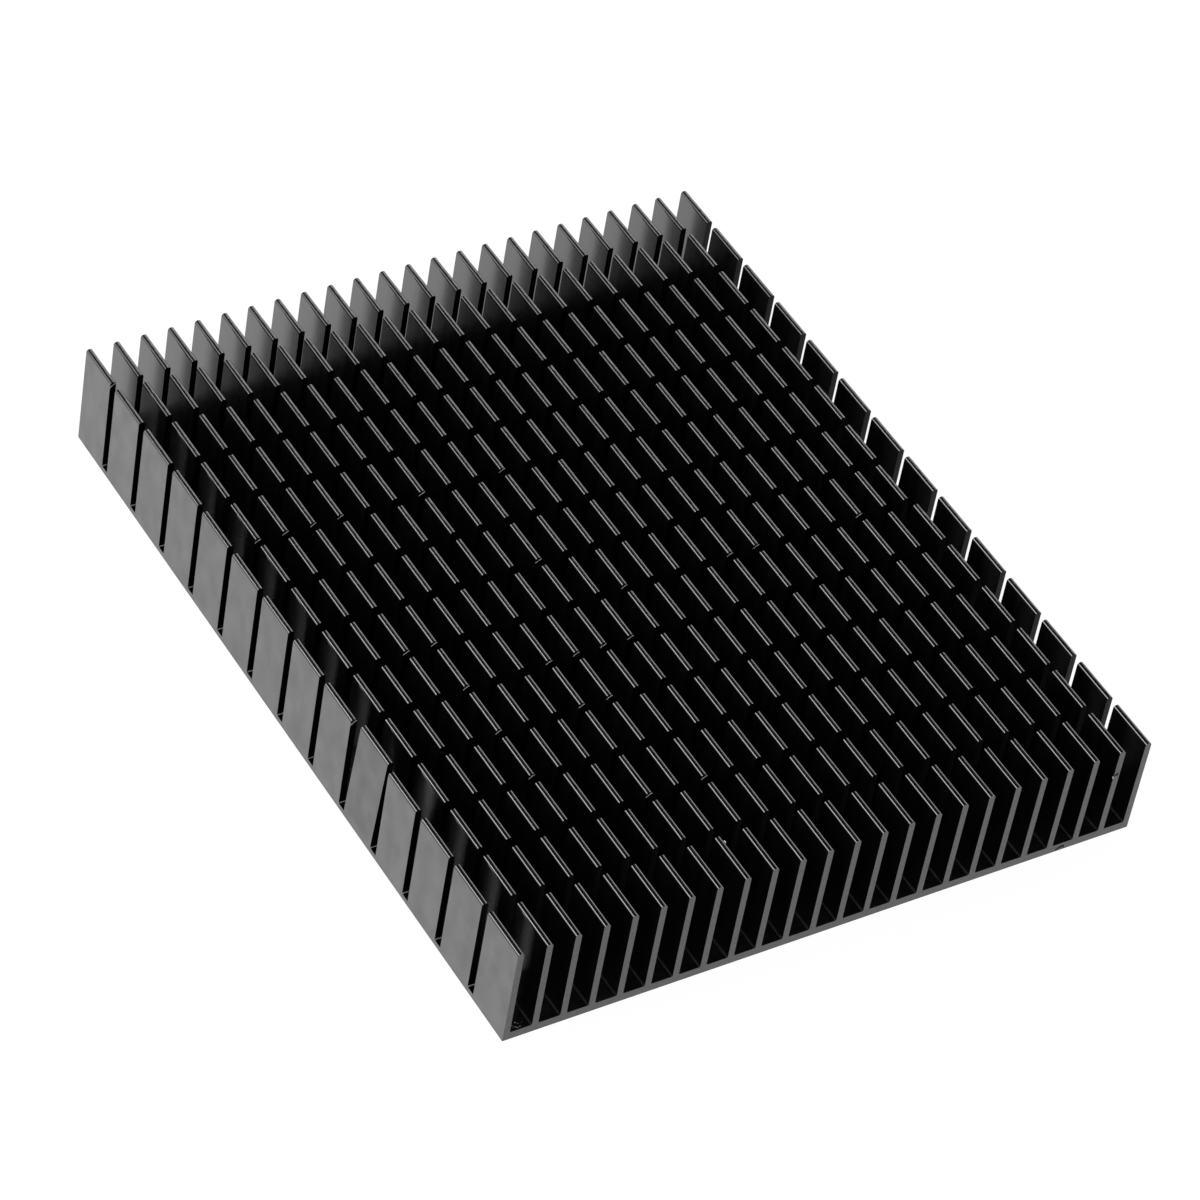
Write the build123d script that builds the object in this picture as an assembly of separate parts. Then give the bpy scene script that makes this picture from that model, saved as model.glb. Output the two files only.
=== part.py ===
from build123d import *
import os

# Heat sink of black anodised aluminium, in one piece.
# It is extruded as a comb of upright fins on a thin plate, and then sawn across, so that
# every fin becomes a row of short blades. All lengths are in millimetres.
# X runs across the fins, Y along them from front to back, and Z up.
# The origin is the middle of the underside.

# Body
LENGTH = 150.0
WIDTH = 120.0
HEIGHT = 20.0
PLATE_THICKNESS = 1.6

# Fins
FIN_COUNT = 24
FIN_THICKNESS = 1.15
TIP_BREAK = 0.3  # flat that breaks each corner of a fin's tip
ROOT_BREAK = 0.25  # flat that fills each corner between a fin and the plate

# Saw slots, which bite a little into the plate
SLOT_COUNT = 13
SLOT_WIDTH = 1.85
SLOT_FLOOR = 1.0  # what the saw leaves of the plate under each slot
FRONT_ROW = 9.6  # length of the blades before the first slot
BACK_ROW = 9.1  # length of the blades behind the last slot

# Blades that handling has pushed over, by fin from the left and row from the back,
# both counted from 0, with how far each tip now stands to the right
LEFT_FIN = 0
SECOND_FIN_FROM_RIGHT = FIN_COUNT - 2
BENT_BLADES = [
    (LEFT_FIN, 9, 0.85),
    (SECOND_FIN_FROM_RIGHT, 0, -0.3),
    (SECOND_FIN_FROM_RIGHT, 6, -0.35),
    (SECOND_FIN_FROM_RIGHT, 7, -0.85),
]

# The outer fins stand flush with the plate's sides, and the rest are spread evenly between them.
FIN_PITCH = (WIDTH - FIN_THICKNESS) / (FIN_COUNT - 1)
# The middle rows share what the end rows leave of the length.
ROW_PITCH = (LENGTH - FRONT_ROW - BACK_ROW - SLOT_WIDTH) / (SLOT_COUNT - 1)
MIDDLE_ROW = ROW_PITCH - SLOT_WIDTH
# A pushed-over blade bends just above the flats at its root.
BEND_HEIGHT = PLATE_THICKNESS + ROOT_BREAK


def fin_centre(fin):
    """X of a fin's middle, with fin 0 at the left."""
    return fin * FIN_PITCH - (WIDTH - FIN_THICKNESS) / 2


def row_span(row):
    """Y of a row's front and back ends, with row 0 at the back."""
    back = LENGTH / 2
    if row > 0:
        back -= BACK_ROW + SLOT_WIDTH + (row - 1) * ROW_PITCH
    length = MIDDLE_ROW
    if row == 0:
        length = BACK_ROW
    if row == SLOT_COUNT:
        length = FRONT_ROW
    return back - length, back


def fin_outline(foot, lean=0.0):
    """Corners of one fin's section from its foot to its broken tip, pushed sideways by lean."""
    half = FIN_THICKNESS / 2
    shoulder = HEIGHT - TIP_BREAK
    shoulder_lean = lean * (shoulder - foot) / (HEIGHT - foot)
    return [
        (-half, foot),
        (half, foot),
        (shoulder_lean + half, shoulder),
        (lean + half - TIP_BREAK, HEIGHT),
        (lean - half + TIP_BREAK, HEIGHT),
        (shoulder_lean - half, shoulder),
    ]


def comb_section():
    """Section of the extrusion at its back end: the plate, its fins and the flats at their roots."""
    with BuildSketch(Plane.XZ.offset(-LENGTH / 2)) as section:
        with Locations((0, PLATE_THICKNESS / 2)):
            Rectangle(WIDTH, PLATE_THICKNESS)
        with Locations([(fin_centre(fin), 0) for fin in range(FIN_COUNT)]):
            Polygon(fin_outline(foot=0), align=None)
        roots = [
            corner
            for corner in section.vertices()
            if abs(corner.Y - PLATE_THICKNESS) < ROOT_BREAK / 2
        ]
        chamfer(roots, ROOT_BREAK)
    return section.sketch


def upright_blade(fin, row):
    """The block that one straight blade fills above the bend."""
    front, back = row_span(row)
    block = Box(FIN_THICKNESS, back - front, HEIGHT - BEND_HEIGHT)
    return Pos(fin_centre(fin), (front + back) / 2, (HEIGHT + BEND_HEIGHT) / 2) * block


def bent_blade(fin, row, lean):
    """One blade above its bend, with its tip pushed over by lean."""
    front, back = row_span(row)
    with BuildSketch(Plane.XZ.offset(-back)) as outline:
        with Locations((fin_centre(fin), 0)):
            Polygon(fin_outline(BEND_HEIGHT, lean), align=None)
    return extrude(outline.sketch, amount=back - front)


# What the bent blades replace, and the bent blades themselves
upright_blades = [upright_blade(fin, row) for fin, row, lean in BENT_BLADES]
bent_blades = [bent_blade(fin, row, lean) for fin, row, lean in BENT_BLADES]

with BuildPart() as heat_sink:
    # The extrusion
    extrude(comb_section(), amount=LENGTH)

    # The saw slots, evenly spaced between the end rows
    slot_depth = HEIGHT - SLOT_FLOOR
    with Locations((0, (FRONT_ROW - BACK_ROW) / 2, SLOT_FLOOR + slot_depth / 2)):
        with GridLocations(0, ROW_PITCH, 1, SLOT_COUNT):
            Box(WIDTH, SLOT_WIDTH, slot_depth, mode=Mode.SUBTRACT)

    # The blades that handling has pushed over
    add(upright_blades, mode=Mode.SUBTRACT)
    add(bent_blades)

print("solids", len(heat_sink.solids()), "faces", len(heat_sink.faces()))
print("fin pitch", FIN_PITCH, "row pitch", ROW_PITCH, "volume", heat_sink.part.volume)

os.makedirs("parts", exist_ok=True)
export_step(heat_sink.part, "parts/heat_sink.step")
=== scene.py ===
# %% [markdown]
# # A sawn heat sink of black anodised aluminium
# The real part starts as a long bar, pressed hot through a die that gives it 24 upright fins on
# a thin plate. A piece is cut off, thirteen saw cuts run across it, and the whole is etched and
# anodised black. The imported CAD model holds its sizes. This file makes the same solid again with
# the finer edges and the finish that the eye sees, and sets it in a white studio.

import bpy
import numpy as np
from mathutils import Matrix, Vector


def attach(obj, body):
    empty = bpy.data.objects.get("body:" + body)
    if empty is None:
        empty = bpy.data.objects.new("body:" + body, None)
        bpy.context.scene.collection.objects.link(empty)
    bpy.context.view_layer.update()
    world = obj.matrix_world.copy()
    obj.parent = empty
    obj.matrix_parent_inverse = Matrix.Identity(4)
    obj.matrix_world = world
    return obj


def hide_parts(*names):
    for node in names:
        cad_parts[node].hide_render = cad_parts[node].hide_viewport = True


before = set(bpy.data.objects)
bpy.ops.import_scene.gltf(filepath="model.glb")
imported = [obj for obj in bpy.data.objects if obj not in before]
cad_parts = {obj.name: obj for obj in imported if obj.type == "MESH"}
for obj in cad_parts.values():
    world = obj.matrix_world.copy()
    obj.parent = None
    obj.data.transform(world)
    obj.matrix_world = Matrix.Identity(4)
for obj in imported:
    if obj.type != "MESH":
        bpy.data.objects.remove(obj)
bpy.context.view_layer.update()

# %% [markdown]
# ## Sizes
# Blender works in metres, and a heat sink is easier to think of in millimetres, so every length
# here is in millimetres until it goes into a mesh. X runs across the fins, Y along them, Z up,
# and the origin is the middle of the underside. The sizes are the CAD model's own.

# %% Sizes of the extrusion and its saw cuts
MM = 0.001
TINY = 1e-6  # two heights in millimetres that differ by less are the same
LENGTH, WIDTH, HEIGHT = 150.0, 120.0, 20.0
PLATE = 1.6
FINS = 24
FIN = 1.15
TIP_ROUND = 0.5
ROOT_FILLET = 0.25
CUTS = 13
CUT = 1.85
CUT_FLOOR = 1.0  # what the saw leaves of the plate
FRONT_ROW, BACK_ROW = 9.6, 9.1  # lengths of the blades in the two end rows
FIN_PITCH = (WIDTH - FIN) / (FINS - 1)
ROW_PITCH = (LENGTH - FRONT_ROW - BACK_ROW - CUT) / (CUTS - 1)
ROWS = CUTS + 1
print("fin pitch", round(FIN_PITCH, 3), "row pitch", round(ROW_PITCH, 3))

# %% [markdown]
# ## The section of one fin
# A die can't press a perfectly sharp corner. Each tip has a small round on both sides with a
# narrow flat between, and each root runs into the plate in a small fillet. The two rounds catch
# the light as a pair of bright lines with the dark flat between them, so they are worth their few
# faces. A box with a Bevel modifier could give them too, but a profile keeps each round and its
# normals exact with five steps. The outline of one fin is four arcs, and the straight walls are
# simply the gaps between the arcs.

# %% One fin's outline as four arcs
TIP_STEPS, ROOT_STEPS = 5, 2


def arc(centre, radius, start, stop, steps, side=1.0):
    """Points and normals of an arc: centre + radius * (cos a, sin a) for a from start to stop.

    The normal is side * (cos a, sin a), so side -1 gives a hollow fillet.
    """
    a = np.radians(np.linspace(start, stop, steps + 1))
    ray = np.stack([np.cos(a), np.sin(a)], 1)
    return np.array(centre) + radius * ray, side * ray


half = FIN / 2
root = PLATE + ROOT_FILLET
shoulder = HEIGHT - TIP_ROUND
arcs = [
    arc((-half - ROOT_FILLET, root), ROOT_FILLET, 270, 360, ROOT_STEPS, side=-1.0),
    arc((TIP_ROUND - half, shoulder), TIP_ROUND, 180, 90, TIP_STEPS),
    arc((half - TIP_ROUND, shoulder), TIP_ROUND, 90, 0, TIP_STEPS),
    arc((half + ROOT_FILLET, root), ROOT_FILLET, 180, 270, ROOT_STEPS, side=-1.0),
]
fin_points = np.concatenate([points for points, normals in arcs])
fin_normals = np.concatenate([normals for points, normals in arcs])
print("points round one fin:", len(fin_points))

# %% [markdown]
# ## Rows, and blades that were knocked over
# The saw leaves 14 rows of 24 blades, with the end rows a little longer than the rest. A few
# blades have been knocked sideways in handling. A short table says which ones and how far, so the
# regular grid stays one formula.

# %% Where every row lies, and how far every blade leans
row_back = LENGTH / 2 - np.where(
    np.arange(ROWS) > 0, BACK_ROW + CUT + (np.arange(ROWS) - 1) * ROW_PITCH, 0.0
)
row_length = np.full(ROWS, ROW_PITCH - CUT)
row_length[0], row_length[-1] = BACK_ROW, FRONT_ROW
row_ends = np.stack([row_back - row_length, row_back], 1)

# By row from the back and fin from the left: how far the tip now stands to the right
BENT_BLADES = {(9, 0): 0.85, (0, 22): -0.3, (6, 22): -0.35, (7, 22): -0.85}
lean = np.zeros((ROWS, FINS))
for (row, fin), tip_shift in BENT_BLADES.items():
    lean[row, fin] = tip_shift
print("bent blades:", np.count_nonzero(lean), "rows from", row_ends.min(), "to", row_ends.max())

# %% [markdown]
# ## One outline for every row
# The fin's outline is set down 24 times and joined into one line, from the plate's left foot over
# all the fins to its right foot. A knocked blade bends just above its root, so it is sheared: a
# point moves sideways in proportion to its height above the bend, and its normal turns with it.
# A Simple Deform modifier could bend one blade, but not single blades of one solid, so the shear
# is worked out here for all rows at once, as one array. The two outer walls go straight down to
# the table, so the fillets there are left off.

# %% The comb's outline in every row
fin_centres = np.arange(FINS) * FIN_PITCH - (WIDTH - FIN) / 2


def row_outlines():
    """Outline points and normals of the whole comb in each row, as rows x points x 2.

    Above the bend, x grows by lean * (z - root) / (HEIGHT - root), and a normal (nx, nz)
    becomes (nx, nz - nx * slope), which is what shearing does to normals.
    """
    x, z = fin_points.T
    slope = lean[:, :, None] / (HEIGHT - root) * (z > root + TINY)
    points = np.stack(
        np.broadcast_arrays(fin_centres[None, :, None] + x + slope * (z - root), z), -1
    )
    nx, nz = fin_normals.T
    normals = np.stack(np.broadcast_arrays(nx + 0 * slope, nz - nx * slope), -1)
    normals /= np.linalg.norm(normals, axis=-1, keepdims=True)
    points = points.reshape(ROWS, -1, 2)[:, ROOT_STEPS:-ROOT_STEPS]
    normals = normals.reshape(ROWS, -1, 2)[:, ROOT_STEPS:-ROOT_STEPS]
    left = np.broadcast_to([-WIDTH / 2, 0.0], (ROWS, 1, 2))
    right = np.broadcast_to([WIDTH / 2, 0.0], (ROWS, 1, 2))
    up = np.array([0.0, CUT_FLOOR])
    points = np.concatenate([left, left + up, points, right + up, right], 1)
    out = np.broadcast_to([1.0, 0.0], (ROWS, 2, 2))
    normals = np.concatenate([-out, normals, out], 1)
    return points, normals


outline, outline_normals = row_outlines()
RING = outline.shape[1]
print("points round the comb:", RING)

# %% [markdown]
# ## Skinning the rows
# Each row has one ring of points at its front end and one at its back end. Neighbouring points of
# the two rings make the skin's four-sided faces. Thirteen Boolean cuts through one long comb would
# give the same form with ragged faces, and these rows come out clean. Every corner of a face is
# given its true normal, so that five steps of an arc already look round and a flat wall stays
# flat up to its edge.

# %% Vertices, and helpers that number them
ring_y = np.broadcast_to(row_ends[:, :, None], (ROWS, 2, RING))
ring_xz = np.broadcast_to(outline[:, None], (ROWS, 2, RING, 2))
vertices = np.stack([ring_xz[..., 0], ring_y, ring_xz[..., 1]], -1).reshape(-1, 3)
FRONT, BACK = 0, 1


def ring(row, end):
    """Numbers of the vertices of one ring, from the left foot over the fins to the right foot."""
    return (2 * row + end) * RING + np.arange(RING)


def skin(front, back):
    """Quads between two chains of vertices: each joins two neighbours of one to the other's."""
    return np.stack([front[:-1], front[1:], back[1:], back[:-1]], 1)


print("vertices in the rings:", len(vertices))

# %% The normals along the outline
LONGEST_ARC_STEP = 0.2  # millimetres: a wall is much longer, and a step of an arc is shorter
segment = np.diff(outline, axis=1)
segment_normal = np.stack([-segment[..., 1], segment[..., 0]], -1)
segment_normal /= np.linalg.norm(segment_normal, axis=-1, keepdims=True)
on_arc = np.linalg.norm(segment, axis=-1) < LONGEST_ARC_STEP
start_normal = np.where(on_arc[..., None], outline_normals[:, :-1], segment_normal)
stop_normal = np.where(on_arc[..., None], outline_normals[:, 1:], segment_normal)
corner_normals = np.stack([start_normal, stop_normal, stop_normal, start_normal], 2)
corner_normals = np.insert(corner_normals, 1, 0.0, axis=-1)  # (x, z) becomes (x, 0, z)
print("segments on arcs in one row:", int(on_arc[0].sum()), "of", RING - 1)

# %% [markdown]
# ## Which finish goes where
# The eye tells nine surfaces apart on this one block. The rounds and flats of the tips keep the
# skin of the extrusion, the channel walls are a little duller, the two outer walls have been
# handled, and the fillets are a lighter grey-black. The other five are sawn, torn or crushed
# places, a darker copy of the sawn finish that paints the shade inside the cuts, and a light grey
# for dust specks and painted highlight lines.

# %% Finishes along the outline, and the skin of the rows
EXTRUDED, CHANNEL, HANDLED, SAWN, KERF, LIGHTER_ROOT, BARE, CRUSHED, GREY_DUST_AND_HIGHLIGHT = range(9)
OUTER_WALLS = [0, 1, 2, -3, -2, -1]  # the first and the last segments of the outline
segment_start = outline[:, :-1, 1]
skin_finish = np.where(on_arc, EXTRUDED, CHANNEL)
skin_finish[np.abs(segment_start - HEIGHT) < TINY] = EXTRUDED  # the flats of the tips
skin_finish[on_arc & (segment_start < root + TINY)] = LIGHTER_ROOT
skin_finish[:, OUTER_WALLS] = HANDLED

rings = [(ring(row, FRONT), ring(row, BACK)) for row in range(ROWS)]
faces = [quad for front, back in rings for quad in skin(front, back).tolist()]
face_normals = corner_normals.reshape(-1, 4, 3).tolist()
finishes = skin_finish.reshape(-1).tolist()
print("faces along the rows:", len(faces))

# %% [markdown]
# ## The cuts and the underside
# Between two rows only the four corners of the sawn plate are joined, which leaves the cut open
# down to its floor. The underside gets one face for each row and one for each cut.

# %% The floors of the cuts, and the underside
cut_rings = [(ring(row + 1, BACK), ring(row, FRONT)) for row in range(CUTS)]
PLATE_CORNERS = [0, 1, -2, -1]
for front, back in cut_rings:
    faces += skin(front[PLATE_CORNERS], back[PLATE_CORNERS]).tolist()
    face_normals += [[[-1, 0, 0]] * 4, [[0, 0, 1]] * 4, [[1, 0, 0]] * 4]
    finishes += [HANDLED, KERF, HANDLED]
underside = len(faces)  # the number of the first row's underside face
for front, back in rings + cut_rings:
    faces += skin(front[[-1, 0]], back[[-1, 0]]).tolist()
    face_normals.append([[0, 0, -1]] * 4)
    finishes.append(EXTRUDED)
print("faces with the cuts and the underside:", len(faces))

# %% [markdown]
# ## The sawn ends
# The end of every blade is flat, and so is the lip of the plate under it, so each is one
# many-sided face. The front and back of the block are whole down to the table. Inside the cuts the
# plate's lip ends at the floor of the cut.

# %% The sawn ends of the fins and the plate
per_fin = len(fin_points)
fin_start = 2 + np.arange(FINS) * per_fin - ROOT_STEPS  # two points come before the first fin's
tip_part = np.arange(ROOT_STEPS, per_fin - ROOT_STEPS)
is_tip = np.zeros(RING, bool)
is_tip[fin_start[:, None] + tip_part[1:-1]] = True
end_faces = {}  # by row, end and fin, with the plate's lip as the last "fin"

for row in range(ROWS):
    for end in (FRONT, BACK):
        whole = (row, end) in ((0, BACK), (ROWS - 1, FRONT))
        in_lip = ~is_tip
        in_lip[[0, -1]] = whole
        numbers = ring(row, end)
        step = 1 if end == BACK else -1
        polygons = [numbers[start + tip_part] for start in fin_start] + [numbers[in_lip]]
        for fin, polygon in enumerate(polygons):
            end_faces[row, end, fin] = len(faces)
            faces.append(polygon[::step].tolist())
            face_normals.append([[0, step, 0]] * len(polygon))
            finishes.append(SAWN if whole else KERF)
print("all faces:", len(faces), "sawn in the open:", finishes.count(SAWN))

# %% [markdown]
# ## Adding small faces one by one
# Small damage doesn't follow the grid. Three helpers add flat faces, add vertices, and put new
# vertices into an edge, so that the mesh stays closed whatever is cut into it.

# %% Helpers that add faces and vertices
vertices = vertices.tolist()


def flat_normal(polygon):
    """Normal of a flat polygon: the sum of the cross products of its neighbouring corners."""
    corners = np.array([vertices[number] for number in polygon])
    normal = np.cross(corners, np.roll(corners, -1, axis=0)).sum(0)
    return (normal / np.linalg.norm(normal)).tolist()


def add_faces(polygons, finish):
    """Adds flat faces of one finish."""
    for polygon in polygons:
        faces.append([int(number) for number in polygon])
        face_normals.append([flat_normal(polygon)] * len(polygon))
        finishes.append(finish)


def add_vertices(points):
    """Adds vertices and returns their numbers."""
    first = len(vertices)
    vertices.extend([float(c) for c in point] for point in points)
    return list(range(first, len(vertices)))


def split_edge(face, first, second, between):
    """Puts new vertices between two neighbouring corners of a face, in either direction."""
    polygon = faces[face]
    place = polygon.index(first)
    if polygon[(place + 1) % len(polygon)] != second:
        place, between = polygon.index(second), between[::-1]
        assert polygon[(place + 1) % len(polygon)] == first
    polygon[place + 1 : place + 1] = between
    face_normals[face] = list(face_normals[face]) + [face_normals[face][0]] * len(between)


# %% [markdown]
# ## Two gouges in the front
# Something hard has hit the front face twice: once at the plate, and once at the left edge of the
# second fin from the right. A gouge opens from an edge. Its rim leaves the edge, runs over the flat
# face and comes back. Its floor starts at the edge, stays shallow up to a sill where there is one,
# and then runs back to deep points behind the rim. That deep part faces up, so it mirrors the dark
# ceiling and shows as a dark patch.

# %% A gouge that opens from an edge
def gouge(flat_face, side_face, first, second, start, stop, rim, bottom, sill=()):
    """A gouge in flat_face from its edge first-second, which side_face shares.

    The edge runs from first to second in flat_face's own order, and so does the sill.
    """
    edge = add_vertices([start, stop])
    rim, bottom, sill = add_vertices(rim), add_vertices(bottom), add_vertices(sill)
    split_edge(flat_face, first, second, [edge[0], *rim, edge[1]])
    split_edge(side_face, first, second, edge)
    walls = [
        [rim[i + 1], rim[i], bottom[i], bottom[i + 1]] for i in range(len(rim) - 1)
    ]
    ends = [
        [rim[0], edge[0], *sill[:1], bottom[0]],
        [edge[1], rim[-1], bottom[-1], *sill[1:]],
    ]
    deep_from = sill or edge
    add_faces(walls + ends + [[*deep_from, *bottom[::-1]]], CRUSHED)
    if sill:
        add_faces([[*edge, *sill[::-1]]], SAWN)


# %% The gouge in the plate and the one in a fin
FRONT_Y = -LENGTH / 2
front_ring = ring(ROWS - 1, FRONT)
gouge(
    end_faces[ROWS - 1, FRONT, FINS],
    underside + ROWS - 1,
    int(front_ring[0]),
    int(front_ring[-1]),
    start=(45.2, FRONT_Y, 0.0),
    stop=(47.2, FRONT_Y, 0.0),
    rim=[(45.3, FRONT_Y, 0.6), (46.1, FRONT_Y, 0.95), (47.0, FRONT_Y, 1.1)],
    bottom=[(45.5, FRONT_Y + 0.4, 0.5), (46.1, FRONT_Y + 0.5, 0.7), (46.9, FRONT_Y + 0.5, 0.85)],
    sill=[(45.4, FRONT_Y + 0.03, 0.25), (46.9, FRONT_Y + 0.03, 0.5)],
)
nicked_fin = FINS - 2
nicked_left = fin_centres[nicked_fin] - half
wall_foot = int(fin_start[nicked_fin] + ROOT_STEPS)
gouge(
    end_faces[ROWS - 1, FRONT, nicked_fin],
    (ROWS - 1) * (RING - 1) + wall_foot,
    int(front_ring[wall_foot + 1]),
    int(front_ring[wall_foot]),
    start=(nicked_left, FRONT_Y, 14.9),
    stop=(nicked_left, FRONT_Y, 14.35),
    rim=[(nicked_left + 0.9, FRONT_Y, 15.15), (nicked_left + 0.85, FRONT_Y, 14.4)],
    bottom=[(nicked_left + 0.75, FRONT_Y + 0.4, 14.8), (nicked_left + 0.7, FRONT_Y + 0.02, 14.45)],
)
print("faces with the gouges:", len(faces))

# %% [markdown]
# ## Burrs
# A saw pushes a thin lip of metal out of the far side of its cut. Most were brushed off, but some
# blades keep one in front of their tip. It carries the tip's right edge a little further, and then
# drops across the end to the left edge as a thin ridge, with a dark groove behind it. The ridge's
# crest is painted light grey as a highlight line. Each lip is a closed sliver with five
# sections of six corners, and reaches a little into its blade.

# %% A lip in front of a tip
SUNK = 0.02  # how far a small added shell reaches into the metal that carries it
RIDGE = 0.09
# Each section's place across the fin, its share of the reach, and how far its ridge lies below
# the tip and its groove below the ridge
LIP_ACROSS = np.array([-half, -0.2, 0.16, 0.24, 0.42])
LIP_REACH = np.array([0.45, 0.9, 1.0, 1.0, 0.85])
LIP_DROP = np.array([0.85, 0.33, 0.07, 0.03, 0.14])
LIP_GROOVE = np.array([0.1, 0.22, 0.22, 0.01, 0.01])
# How far the nose's upper and lower corners and the lip's lower root lie below the ridge, and how
# far the lower corner stands back
NOSE_TOP, NOSE_UNDER, LIP_UNDER, NOSE_BACK = 0.04, 0.3, 0.4, 0.02
RIDGE_STRIP = 2  # the side of a section that is the top of the ridge


def add_lip(row, fin, reach):
    """A lip that stands out by reach millimetres in front of a blade's end.

    Each section runs from the sawn face along the groove, over the ridge and back underneath.
    """
    nose, top = LIP_REACH * reach, HEIGHT - LIP_DROP
    sunk, groove = np.full(len(LIP_ACROSS), -SUNK), top - LIP_GROOVE
    forward = np.stack([sunk, nose - RIDGE, nose - RIDGE, nose, nose - NOSE_BACK, sunk], 1)
    height = np.stack(
        [groove, groove, top, top - NOSE_TOP, top - NOSE_UNDER, top - LIP_UNDER], 1
    )
    x = fin_centres[fin] + lean[row, fin] + LIP_ACROSS
    y = row_ends[row, FRONT] - forward
    points = np.stack(np.broadcast_arrays(x[:, None], y, height), -1)
    numbers = np.array(add_vertices(points.reshape(-1, 3))).reshape(height.shape)
    add_faces([numbers[0, ::-1].tolist(), numbers[-1].tolist()], EXTRUDED)
    after = np.roll(numbers, -1, axis=1)
    for i in range(numbers.shape[1]):
        side = np.stack([numbers[:-1, i], after[:-1, i], after[1:, i], numbers[1:, i]], 1)
        # the ridge's crest takes the light grey that paints a highlight line
        add_faces(side.tolist(), GREY_DUST_AND_HIGHLIGHT if i == RIDGE_STRIP else EXTRUDED)


# %% The blades that keep a lip
lips = {  # fins from the left, by row from the back
    0: [0],
    4: [1, 2, 3, 4, 7, 10],
    6: [9],
    7: [3, 4, 11, 15, 16, 20],
    8: [0, 4, 7, 8, 9, 10],
    9: [4, 7, 8],
    10: [4],
    11: [7, 9],
}
rng = np.random.default_rng(7)
for row, fins in lips.items():
    for fin in fins:
        add_lip(row, fin, reach=rng.uniform(0.28, 0.38))
print("blades with a lip:", sum(len(fins) for fins in lips.values()))

# %% [markdown]
# ## Torn beads and dust
# A knock also raises a bead of metal beside it, bright where the black skin has torn, and a burr
# can break off and stay on a tip. Grey dust has settled just inside the mouth of the first
# channel. Each is a small closed ellipsoid, half sunk in what carries it, which is enough for
# something one or two pixels wide.

# %% A bead or speck
def add_bead(centre, radii, finish, sides=8, bands=4):
    """A closed ellipsoid: centre + radii * (sin a cos b, sin a sin b, cos a)."""
    a = np.pi * np.arange(1, bands)[:, None] / bands
    b = 2 * np.pi * np.arange(sides) / sides
    ball = np.broadcast_arrays(np.sin(a) * np.cos(b), np.sin(a) * np.sin(b), np.cos(a))
    ball = np.concatenate([np.stack(ball, -1).reshape(-1, 3), [[0, 0, 1], [0, 0, -1]]])
    numbers = np.array(add_vertices(np.array(centre) + np.array(radii) * ball))
    grid = numbers[:-2].reshape(bands - 1, sides)
    after = np.roll(grid, -1, axis=1)
    shell = np.stack([grid[1:], after[1:], after[:-1], grid[:-1]], -1).reshape(-1, 4).tolist()
    shell += [[grid[0, i], after[0, i], numbers[-2]] for i in range(sides)]
    shell += [[after[-1, i], grid[-1, i], numbers[-1]] for i in range(sides)]
    add_faces(shell, finish)


# %% Where the beads and the dust lie
beads = [
    ((-17.36, -66.5, 19.6), (0.17, 0.3, 0.15), BARE),  # at a tip's right edge in the front row
    ((nicked_left + 0.04, FRONT_Y + 0.12, 14.15), (0.14, 0.12, 0.3), BARE),  # under the gouge
    ((fin_centres[6] + 0.08, -66.4, 19.99), (0.09, 0.28, 0.01), EXTRUDED),  # flat on a tip
    ((-38.6, -72.8, 1.63), (0.16, 0.14, 0.08), GREY_DUST_AND_HIGHLIGHT),  # on the floor of a channel
    ((-58.75, -63.45, 19.55), (0.12, 0.1, 0.2), EXTRUDED),  # a burr on the left fin
]
DUST_SPECKS = 14
for _ in range(DUST_SPECKS):
    place = (rng.normal(-57.1, 0.5), rng.uniform(-74.7, -73.3), PLATE)
    beads.append((place, (rng.uniform(0.04, 0.12), rng.uniform(0.04, 0.1), 0.03), GREY_DUST_AND_HIGHLIGHT))
for centre, radii, finish in beads:
    add_bead(centre, radii, finish)
print("beads and specks:", len(beads), "all faces:", len(faces))

# %% [markdown]
# ## A painted highlight in the cuts
# A thin light line runs along the far bottom corner of every saw cut and shows at the cut's open
# end. A low light grey wedge along the corner paints it as a highlight.

# %% A light grey wedge in the far corner of each saw cut, as a painted highlight
HIGHLIGHT_WEDGE_SIZE = 0.13
for row in range(CUTS):
    corner_y = row_ends[row, FRONT]
    section = [
        (corner_y + SUNK, CUT_FLOOR - SUNK),
        (corner_y - HIGHLIGHT_WEDGE_SIZE, CUT_FLOOR - SUNK),
        (corner_y - HIGHLIGHT_WEDGE_SIZE, CUT_FLOOR + SUNK),
        (corner_y + SUNK, CUT_FLOOR + HIGHLIGHT_WEDGE_SIZE),
    ]
    left, right = (
        np.array(add_vertices([(x, y, z) for y, z in section])) for x in (-WIDTH / 2, WIDTH / 2)
    )
    sides = np.stack([left, np.roll(left, -1), np.roll(right, -1), right], 1).tolist()
    add_faces([left[::-1].tolist(), right.tolist()] + sides, GREY_DUST_AND_HIGHLIGHT)
print("lines of swarf:", CUTS)

# %% [markdown]
# ## One closed mesh
# All faces go into one mesh, because the real part is one piece. The mesh is closed when every
# edge belongs to exactly two faces, and the last line counts the edges for which that fails.

# %% The heat sink's mesh, with its true normals
def make_mesh(name, points, polygons, normals):
    """A mesh object at the origin, from points in millimetres and each corner's normal."""
    mesh = bpy.data.meshes.new(name)
    mesh.from_pydata((np.asarray(points) * MM).tolist(), [], polygons)
    mesh.polygons.foreach_set("use_smooth", [True] * len(polygons))
    mesh.normals_split_custom_set([n for polygon in normals for n in polygon])
    piece = bpy.data.objects.new(name, mesh)
    bpy.context.scene.collection.objects.link(piece)
    return piece


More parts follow.
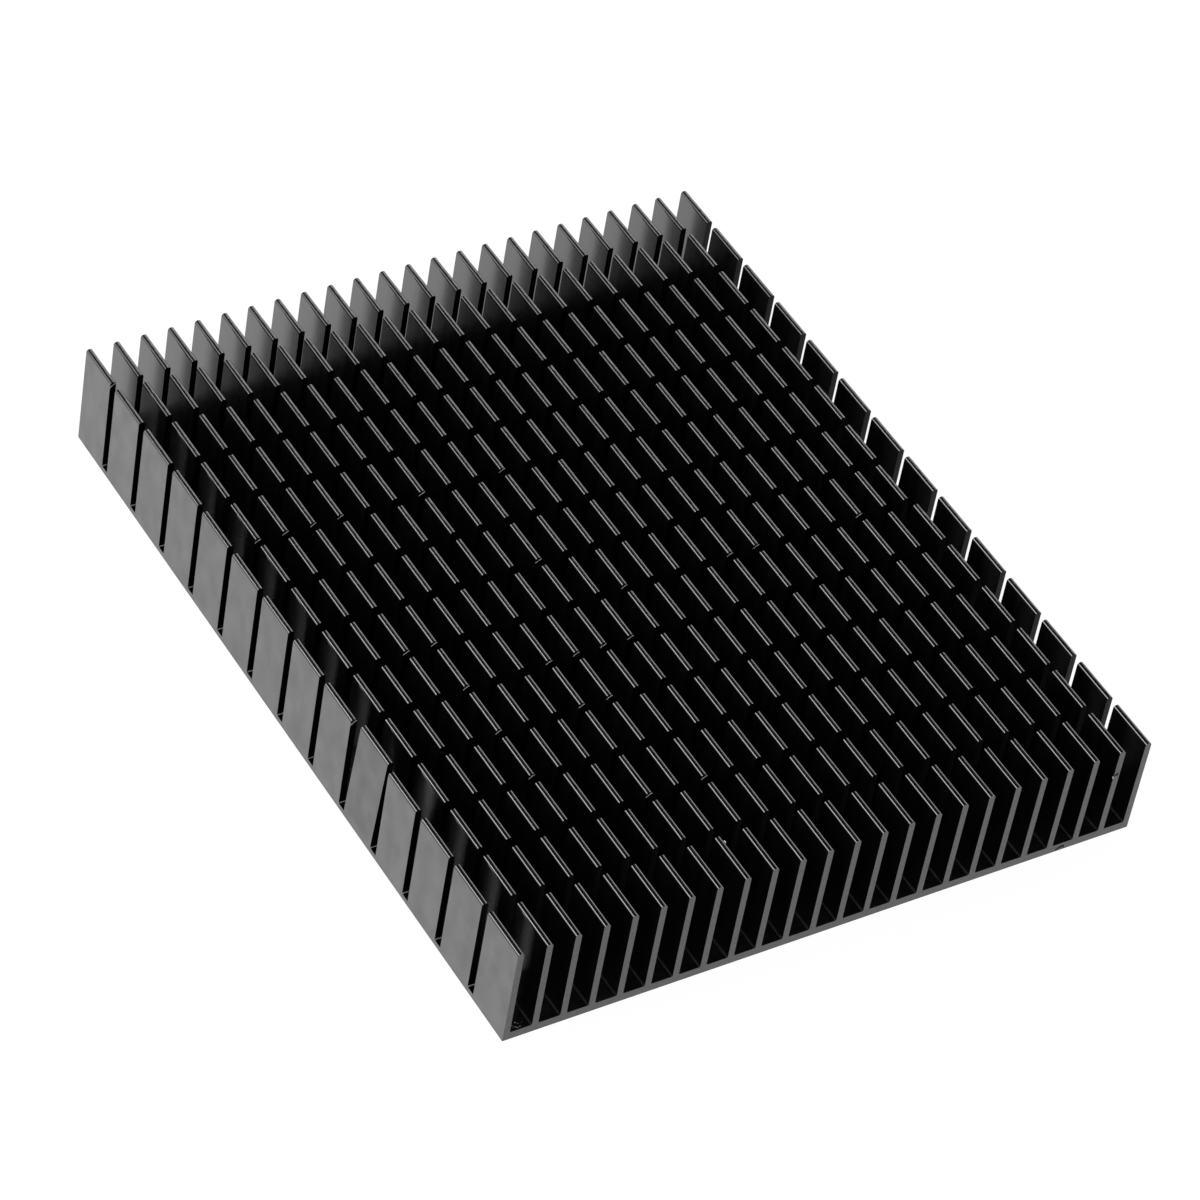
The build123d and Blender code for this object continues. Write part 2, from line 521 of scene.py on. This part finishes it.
heat_sink = make_mesh("sawn_heat_sink", vertices, faces, face_normals)
heat_sink.data.polygons.foreach_set("material_index", finishes)
edge_use = np.zeros(len(heat_sink.data.edges), int)
np.add.at(edge_use, [loop.edge_index for loop in heat_sink.data.loops], 1)
triangles = sum(len(polygon) - 2 for polygon in faces)
print("triangles:", triangles, "edges not shared by two faces:", int((edge_use != 2).sum()))

# %% [markdown]
# ## Helpers for materials
# One function turns an sRGB hex colour into the linear values that the renderer adds up, and one
# adds a node with its settings and its links.

# %% Colours and nodes
def linear(hex_colour):
    """sRGB hex to linear: ((c + 0.055) / 1.055) ** 2.4 above 0.04045, and c / 12.92 below."""
    c = np.array([int(hex_colour[i : i + 2], 16) for i in (0, 2, 4)]) / 255
    return (*np.where(c > 0.04045, ((c + 0.055) / 1.055) ** 2.4, c / 12.92), 1.0)


def node(tree, kind, inputs=None, links=None, **settings):
    """Adds a node, sets its properties and its sockets' values, and links sockets to others."""
    new = tree.nodes.new(kind)
    for key, value in settings.items():
        setattr(new, key, value)
    for key, value in (inputs or {}).items():
        new.inputs[key].default_value = value
    for key, source in (links or {}).items():
        tree.links.new(source, new.inputs[key])
    return new


def new_material(name):
    """An empty node material, with its tree and its output node."""
    material = bpy.data.materials.new(name)
    material.use_nodes = True
    material.node_tree.nodes.clear()
    return material, material.node_tree, node(material.node_tree, "ShaderNodeOutputMaterial")


print("black 020202 is", [round(c, 5) for c in linear("020202")[:3]], "in linear light")

# %% [markdown]
# ## Dyed oxide
# Anodising grows a layer of clear aluminium oxide, and the dye sits in its pores. The eye sees a
# near-black body under a hard clear surface, so this is a dielectric and not a bare metal: it is
# black head on and silvery at a flat angle. One function makes it. Clouds vary the gloss and the
# shade, broad shallow waves break up the highlights, and tool marks give them their grain.

# %% A function for every kind of dyed oxide
NOISE_RANGE = {"From Min": 0.3, "From Max": 0.7}  # a noise pattern seldom leaves this range
GLOSS_SPREAD = 0.1  # how far the clouds move the roughness up and down, as a share of it


def black_oxide(name, ior, roughness, clouds, marks, mark_height, waves, wave_height, colours):
    """Dyed oxide as a dark dielectric. Grains have lengths along X, Y and Z in millimetres."""
    material, tree, output = new_material(name)
    here = node(tree, "ShaderNodeTexCoord").outputs["Object"]
    patterns = []
    for grain, detail, fineness in ((clouds, 3.0, 0.5), (waves, 2.0, 0.5), (marks, 4.0, 0.6)):
        per_metre = [1 / MM / length for length in grain]
        place = node(tree, "ShaderNodeMapping", {"Scale": per_metre}, {"Vector": here})
        pattern = node(
            tree,
            "ShaderNodeTexNoise",
            {"Scale": 1.0, "Detail": detail, "Roughness": fineness},
            {"Vector": place.outputs["Vector"]},
        )
        patterns.append(pattern.outputs["Fac"])
    cloud, wave, mark = patterns

    gloss = {"To Min": roughness * (1 - GLOSS_SPREAD), "To Max": roughness * (1 + GLOSS_SPREAD)}
    rough = node(tree, "ShaderNodeMapRange", NOISE_RANGE | gloss, {"Value": cloud})
    share = node(tree, "ShaderNodeMapRange", NOISE_RANGE, {"Value": cloud})
    shade = node(
        tree,
        "ShaderNodeMix",
        {"A": linear(colours[0]), "B": linear(colours[1])},
        {"Factor": share.outputs["Result"]},
        data_type="RGBA",
    )
    links = {"Base Color": shade.outputs[2], "Roughness": rough.outputs["Result"]}
    for pattern, height in ((wave, wave_height), (mark, mark_height)):
        under = {"Normal": links["Normal"]} if "Normal" in links else {}
        raised = node(
            tree,
            "ShaderNodeBump",
            {"Strength": 1.0, "Distance": height * MM},
            {"Height": pattern} | under,
        )
        links["Normal"] = raised.outputs["Normal"]
    surface = node(tree, "ShaderNodeBsdfPrincipled", {"IOR": ior, "Metallic": 0.0}, links)
    tree.links.new(surface.outputs["BSDF"], output.inputs["Surface"])
    print(name, "IOR", ior, "roughness", roughness)
    return material


# %% [markdown]
# ## The skin of the extrusion
# The die leaves fine lines along the bar, and the etch before the dye leaves a soft satin with
# faint clouds. That gives the eye clean but slightly broken bright lines along the tips. The real
# lines lie a few hundredths of a millimetre apart, which no render of the whole part shows, so
# they are drawn 0.25 mm apart and very shallow. Aluminium oxide has an index of about 1.77, and
# the dense dyed layer is matched a little higher.

# %% Black anodised aluminium as extruded
DIE_LINES = (0.25, 40.0, 0.25)
extruded_black = black_oxide(
    "black_anodised_aluminium_extruded",
    ior=2.02,
    roughness=0.135,
    clouds=(2.5, 1.6, 14.0),
    marks=DIE_LINES,
    mark_height=0.0003,
    waves=(1.6, 2.2, 1.6),
    wave_height=0.04,
    colours=("020202", "0c0c0c"),
)

# %% [markdown]
# ## The channel walls
# Every touch polishes the tips a little, but nothing rubs the walls of the channels, so they stay
# as matt as the etch left them. They mirror the open ends of the saw cuts as soft, straight, dark
# grey streaks, so this finish is rougher and its waves are longer and lower.

# %% Black anodised aluminium in the channels
channel_black = black_oxide(
    "black_anodised_aluminium_channel",
    ior=2.02,
    roughness=0.23,
    clouds=(2.5, 1.6, 14.0),
    marks=DIE_LINES,
    mark_height=0.0003,
    waves=(3.0, 4.0, 3.0),
    wave_height=0.01,
    colours=("020202", "0a0a0a"),
)

# %% [markdown]
# ## The handled outer walls
# The outer walls have been gripped and stacked. Rubbing leaves faint paler patches a few
# millimetres across, which the eye sees as an uneven satin on the left side. A wider range of
# greys in the clouds gives them, and the gloss stays nearly even.

# %% Black anodised aluminium, handled
handled_black = black_oxide(
    "black_anodised_aluminium_handled",
    ior=1.9,
    roughness=0.15,
    clouds=(3.5, 3.5, 5.0),
    marks=DIE_LINES,
    mark_height=0.0003,
    waves=(1.6, 2.2, 1.6),
    wave_height=0.02,
    colours=("020202", "484848"),
)

# %% [markdown]
# ## The sawn front and back
# The bar was sawn off before it was anodised. The blade's teeth leave short scratches across each
# end, and the dye takes them unevenly, so the ends look grey and grainy next to the glossy tips.
# Real scratches are about 0.05 mm wide. They are drawn 0.2 mm wide, which is one pixel.

# %% Black anodised aluminium as sawn
SAW_SCRATCHES, SAWN_GRAIN, SAWN_WAVES = (0.9, 0.2, 0.18), (0.6, 0.6, 0.9), (0.8, 0.8, 0.9)
sawn_black = black_oxide(
    "black_anodised_aluminium_sawn",
    ior=1.72,
    roughness=0.28,
    clouds=SAWN_GRAIN,
    marks=SAW_SCRATCHES,
    mark_height=0.015,
    waves=SAWN_WAVES,
    wave_height=0.05,
    colours=("020202", "2a2a2a"),
)

# %% [markdown]
# ## Inside the cuts
# The walls and floors of the cuts have the same scratches and lie in the cuts' shade. This finish
# paints that shade: a darker copy of the sawn finish, with a low index that leaves the surface
# hardly any mirror, so the eye sees plain black.

# %% Black anodised aluminium, darkened as painted shade in the cuts
shaded_kerf_black = black_oxide(
    "black_anodised_aluminium_kerf_painted_shade",
    ior=1.2,
    roughness=0.35,
    clouds=SAWN_GRAIN,
    marks=SAW_SCRATCHES,
    mark_height=0.01,
    waves=SAWN_WAVES,
    wave_height=0.05,
    colours=("020202", "040404"),
)

# %% [markdown]
# ## Lighter at the roots
# The fillets take a rougher, lighter grey-black, which shows as a faint thin light line where each
# fin meets the plate. The fillet is narrower than a pixel, so a rough grey-black is enough.

# %% Black anodised aluminium, lighter at the roots
lighter_root_black = black_oxide(
    "black_anodised_aluminium_lighter_root",
    ior=1.6,
    roughness=0.5,
    clouds=(0.3, 1.2, 0.3),
    marks=(0.25, 5.0, 0.25),
    mark_height=0.002,
    waves=(1.0, 1.0, 1.0),
    wave_height=0.01,
    colours=("060606", "222221"),
)

# %% [markdown]
# ## Torn metal
# Where a knock has torn the skin, bare aluminium shows as a tiny bright spot. It is the only metal
# here, so it is metallic with the default index, pale and fairly rough. Its patches are 0.05 mm
# wide, about the size of the torn grains.

# %% Bare aluminium where the skin is torn
bare_aluminium, tree, output = new_material("bare_aluminium_torn")
here = node(tree, "ShaderNodeTexCoord").outputs["Object"]
TORN_GRAIN = 0.05
place = node(
    tree, "ShaderNodeMapping", {"Scale": [1 / MM / TORN_GRAIN] * 3}, {"Vector": here}
).outputs["Vector"]
pattern = node(
    tree, "ShaderNodeTexNoise", {"Scale": 1.0, "Detail": 2.0, "Roughness": 0.5}, {"Vector": place}
).outputs["Fac"]
brightness = node(
    tree, "ShaderNodeMapRange", NOISE_RANGE | {"To Min": 0.7, "To Max": 0.92}, {"Value": pattern}
).outputs["Result"]
tint = node(
    tree, "ShaderNodeCombineColor", links=dict.fromkeys(("Red", "Green", "Blue"), brightness)
).outputs["Color"]
surface = node(
    tree, "ShaderNodeBsdfPrincipled", {"Metallic": 1.0, "Roughness": 0.45}, {"Base Color": tint}
)
tree.links.new(surface.outputs["BSDF"], output.inputs["Surface"])
print("bare aluminium, roughness", surface.inputs["Roughness"].default_value)

# %% [markdown]
# ## Crushed oxide, and grey dust and painted highlights
# In a gouge the hard skin is crushed to a dark rough powder, which looks matt black. Dust specks
# are light grey and quite matt, and the same light grey paints the highlight lines on the crests of
# the burrs and in the far corners of the cuts. Both are rough dielectrics to the eye, and the same
# function makes them.

# %% Crushed skin in the gouges, and grey dust and painted highlights
crushed_black = black_oxide(
    "black_anodised_aluminium_crushed",
    ior=1.45,
    roughness=0.55,
    clouds=(0.2, 0.2, 0.2),
    marks=(0.1, 0.1, 0.1),
    mark_height=0.01,
    waves=(0.4, 0.4, 0.4),
    wave_height=0.01,
    colours=("030303", "0c0c0c"),
)
grey_dust_and_highlight = black_oxide(
    "grey_dust_and_painted_highlight_lines",
    ior=1.5,
    roughness=0.6,
    clouds=(0.4, 0.2, 0.2),
    marks=(0.15, 0.1, 0.1),
    mark_height=0.02,
    waves=(0.6, 0.4, 0.4),
    wave_height=0.01,
    colours=("6a6a68", "b0b0ae"),
)

# %% The finishes in the order of their numbers
for material in (
    extruded_black,
    channel_black,
    handled_black,
    sawn_black,
    shaded_kerf_black,
    lighter_root_black,
    bare_aluminium,
    crushed_black,
    grey_dust_and_highlight,
):
    heat_sink.data.materials.append(material)
print("materials:", [m.name for m in heat_sink.data.materials])

# %% [markdown]
# ## Riding on the frame
# The piece belongs to the frame's only body, fills its material slot, and is shown in place of the
# CAD model's solid.

# %% The piece takes the node's place
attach(heat_sink, "root")
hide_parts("heat_sink")
print(heat_sink.name, "has", len(heat_sink.data.polygons), "faces")

# %% [markdown]
# ## The studio
# A black glossy thing shows its surroundings more than its own colour, so the room matters as
# much as the material. The table is white, the four walls are bright and the ceiling is dark. The
# upright faces mirror the white table and look grey. The flat tips mirror the back wall: the far
# ones see its bright part, and the near ones look over it at the dark ceiling. So a direction's
# rise, which is its height over its distance to the nearest wall, decides what it sees. The room
# stands turned a little against the part, which gives the left and right edges of the tips their
# different lines.

# %% The rise of every direction in the room
ROOM_TURN = np.radians(16.0)  # how far the room stands turned against the heat sink
world = bpy.data.worlds.new("white_room")
bpy.context.scene.world = world
world.use_nodes = True
tree = world.node_tree
tree.nodes.clear()
ray = node(tree, "ShaderNodeTexCoord").outputs["Generated"]
turned = node(
    tree, "ShaderNodeMapping", {"Rotation": (0, 0, ROOM_TURN)}, {"Vector": ray}
).outputs["Vector"]
axes = node(tree, "ShaderNodeSeparateXYZ", links={"Vector": turned}).outputs
sides = [
    node(tree, "ShaderNodeMath", links={0: axes[axis]}, operation="ABSOLUTE").outputs[0]
    for axis in ("X", "Y")
]
farther = node(
    tree, "ShaderNodeMath", links={0: sides[0], 1: sides[1]}, operation="MAXIMUM"
).outputs[0]
rise = node(
    tree, "ShaderNodeMath", links={0: axes["Z"], 1: farther}, operation="DIVIDE"
).outputs[0]
print("room turned by", round(float(np.degrees(ROOM_TURN)), 1), "degrees")

# %% [markdown]
# ## Walls and ceiling
# The back wall is the brightest and the front wall, behind the camera, the plainest, with an even
# change between them. The walls grow brighter over their dark foot and fade out at the top into
# the dark ceiling. The camera itself sees plain white wherever the table ends.

# %% How bright each part of the room is
BACK_WALL, FRONT_WALL, CEILING = 1.9, 1.0, 0.03
BACK_FROM, FRONT_FROM = 0.75, -0.2  # Y of the directions where each wall's own level is reached
FOOT_SHARE, FOOT_HEIGHT = 0.25, 0.4  # the walls' level at the floor, and the rise that ends it
WALL_FADE = 0.83, 1.0  # the rises between which the walls fade into the ceiling
level = node(
    tree,
    "ShaderNodeMapRange",
    {"From Min": FRONT_FROM, "From Max": BACK_FROM, "To Min": FRONT_WALL, "To Max": BACK_WALL},
    {"Value": axes["Y"]},
).outputs["Result"]
foot = node(
    tree,
    "ShaderNodeMapRange",
    {"From Min": 0.0, "From Max": FOOT_HEIGHT, "To Min": FOOT_SHARE, "To Max": 1.0},
    {"Value": rise},
).outputs["Result"]
level = node(
    tree, "ShaderNodeMath", links={0: level, 1: foot}, operation="MULTIPLY"
).outputs[0]
wall = node(
    tree,
    "ShaderNodeMapRange",
    {"From Min": WALL_FADE[0], "From Max": WALL_FADE[1], "To Max": CEILING},
    {"Value": rise, "To Min": level},
).outputs["Result"]
to_camera = node(tree, "ShaderNodeLightPath").outputs["Is Camera Ray"]
strength = node(
    tree, "ShaderNodeMath", links={0: wall, 1: to_camera}, operation="MAXIMUM"
).outputs[0]
background = node(
    tree, "ShaderNodeBackground", {"Color": linear("ffffff")}, {"Strength": strength}
).outputs[0]
node(tree, "ShaderNodeOutputWorld", links={"Surface": background})
print("walls", FRONT_WALL, "to", BACK_WALL, "ceiling", CEILING)

# %% [markdown]
# ## The table
# The table is a plain square, a hair below the part's underside so that the two don't share a
# plane.

# %% Table top
TABLE_REACH, TABLE_DROP = 3.0, 0.00002  # metres
table = bpy.data.meshes.new("white_table")
table.from_pydata(
    [
        (x * TABLE_REACH, y * TABLE_REACH, -TABLE_DROP)
        for x, y in ((-1, -1), (1, -1), (1, 1), (-1, 1))
    ],
    [],
    [(0, 1, 2, 3)],
)
floor = bpy.data.objects.new("white_table", table)
bpy.context.scene.collection.objects.link(floor)
print("table", 2 * TABLE_REACH, "m square")

# %% [markdown]
# ## What the table looks like
# The camera and the mirrors see a glowing white table that still takes the part's shadow, and all
# other light meets a plain light grey one, so the picture's white background doesn't brighten the
# part.

# %% White for the camera and the mirrors, light grey for all other light
white_table, tree, output = new_material("white_table_top")
paths = node(tree, "ShaderNodeLightPath").outputs
shown = paths["Is Camera Ray"]
for kind in ("Is Glossy Ray", "Is Transmission Ray"):
    shown = node(
        tree, "ShaderNodeMath", links={0: shown, 1: paths[kind]}, operation="MAXIMUM"
    ).outputs[0]
PLAIN, FAINT, GLOW = 0.75, 0.22, 0.86  # shares of white
plain = node(tree, "ShaderNodeBsdfDiffuse", {"Color": (PLAIN, PLAIN, PLAIN, 1)}).outputs[0]
faint = node(tree, "ShaderNodeBsdfDiffuse", {"Color": (FAINT, FAINT, FAINT, 1)}).outputs[0]
glow = node(tree, "ShaderNodeEmission", {"Strength": GLOW}).outputs[0]
white = node(tree, "ShaderNodeAddShader", links={0: faint, 1: glow}).outputs[0]
print("the table glows at", GLOW, "and reflects", FAINT)

# %% The table's material put together
top = node(tree, "ShaderNodeMixShader", links={"Fac": shown, 1: plain, 2: white}).outputs[0]
tree.links.new(top, output.inputs["Surface"])
floor.data.materials.append(white_table)
print("nodes in the table's material:", len(tree.nodes))

# %% [markdown]
# ## Lamps
# Most of the light is the room's. A large soft lamp stands high on the camera's side, and lifts
# the table to full white without showing in the tips. A small one, low at the back left, brightens
# the line along the left edge of each tip. The camera sees neither.

# %% Two area lamps
def soft_lamp(name, place, size, power):
    """A rectangular area lamp at place, turned towards the origin, hidden from the camera."""
    light = bpy.data.lights.new(name, "AREA")
    light.shape = "RECTANGLE"
    light.size, light.size_y = size
    light.energy = power
    lamp = bpy.data.objects.new(name, light)
    lamp.location = place
    lamp.rotation_euler = (-Vector(place)).to_track_quat("-Z", "Y").to_euler()
    lamp.visible_camera = False
    bpy.context.scene.collection.objects.link(lamp)
    print(name, size, "m", power, "W")


soft_lamp("lamp_overhead", (-0.3, -0.6, 0.95), (0.7, 0.7), 6.0)
soft_lamp("lamp_back_left", (-0.62, 0.45, 0.52), (0.3, 0.26), 0.95)

# %% [markdown]
# ## The camera
# The camera looks down over the front left corner with a long lens. Its place is given by the
# point it aims at, how far off it stands, its heading, how steeply it looks down, and how much it
# is rolled.

# %% Camera at the photograph's angle
AIM = Vector((-1.918, -2.971, 10.0)) * MM
DISTANCE = 889.31 * MM
HEADING, DOWN, ROLL = np.radians([37.654, 43.089, 10.898])
LENS, SENSOR = 159.36, 36.0  # millimetres

look = Vector(
    (np.sin(HEADING) * np.cos(DOWN), np.cos(HEADING) * np.cos(DOWN), -np.sin(DOWN))
)
sideways = Vector((np.cos(HEADING), -np.sin(HEADING), 0))
above = sideways.cross(look)
right = np.cos(ROLL) * sideways + np.sin(ROLL) * above
up = np.cos(ROLL) * above - np.sin(ROLL) * sideways
lens = bpy.data.cameras.new("camera")
lens.lens = LENS
lens.sensor_width = SENSOR
lens.clip_start = 0.05
camera = bpy.data.objects.new("camera", lens)
camera.matrix_world = Matrix.Translation(AIM - look * DISTANCE) @ Matrix(
    (right, up, -look)
).transposed().to_4x4()
bpy.context.scene.collection.objects.link(camera)
bpy.context.scene.camera = camera
print("camera at, mm:", [round(c * 1000, 1) for c in camera.matrix_world.translation])

# %% [markdown]
# ## The view
# The Standard view shows each colour as it is written. The piece must not grow past the model.

# %% View
bpy.context.scene.view_settings.view_transform = "Standard"
